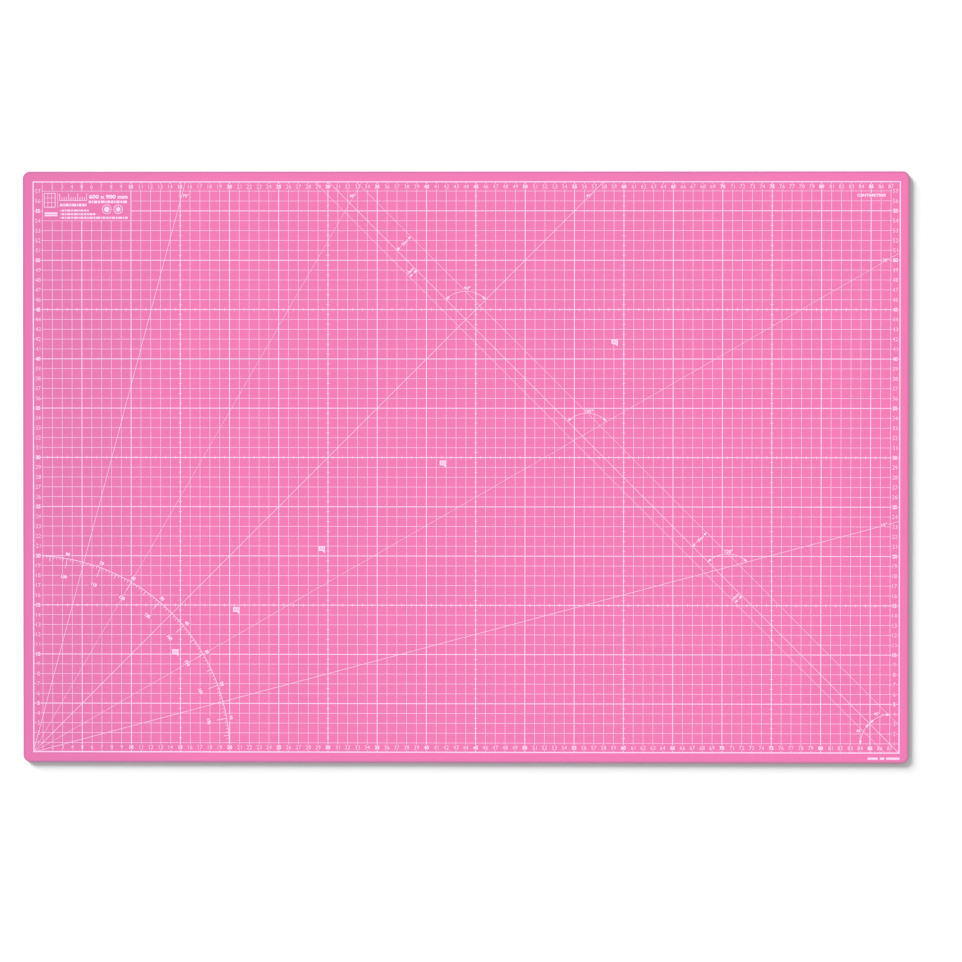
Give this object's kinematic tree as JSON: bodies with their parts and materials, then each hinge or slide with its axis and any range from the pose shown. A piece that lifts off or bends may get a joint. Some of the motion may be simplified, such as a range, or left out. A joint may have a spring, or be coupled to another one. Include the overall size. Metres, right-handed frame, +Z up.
{
  "type": "self healing cutting mat",
  "caption": "Flat rectangular laminated cutting mat with rounded corners and a printed centimetre grid, angle lines and protractor on its work surface.",
  "frame": {"origin": "centre of the underside, on the surface that the mat lies on", "axes": "+X along the long side, +Y along the short side towards the edge with the label panel, +Z up through the work surface"},
  "size_m": [0.899, 0.6, 0.003],
  "materials": {
    "surface_vinyl": "fine matte texture, soft and slightly grippy",
    "tie_vinyl": "matte, seen only at the die-cut edge",
    "core_board": "matte, seen only at the die-cut edge",
    "print_ink": "thin satin screen-printed ink"
  },
  "bodies": {
    "root": {"top_surface_ply": "surface_vinyl", "upper_tie_ply": "tie_vinyl", "core_ply": "core_board", "lower_tie_ply": "tie_vinyl", "bottom_surface_ply": "surface_vinyl", "border_print": "print_ink", "major_grid_print": "print_ink", "numeral_print": "print_ink", "angle_line_print": "print_ink", "seam_line_print": "print_ink", "protractor_print": "print_ink", "arc_mark_print": "print_ink", "paper_size_print": "print_ink", "label_panel_print": "print_ink"}
  },
  "joints": []
}
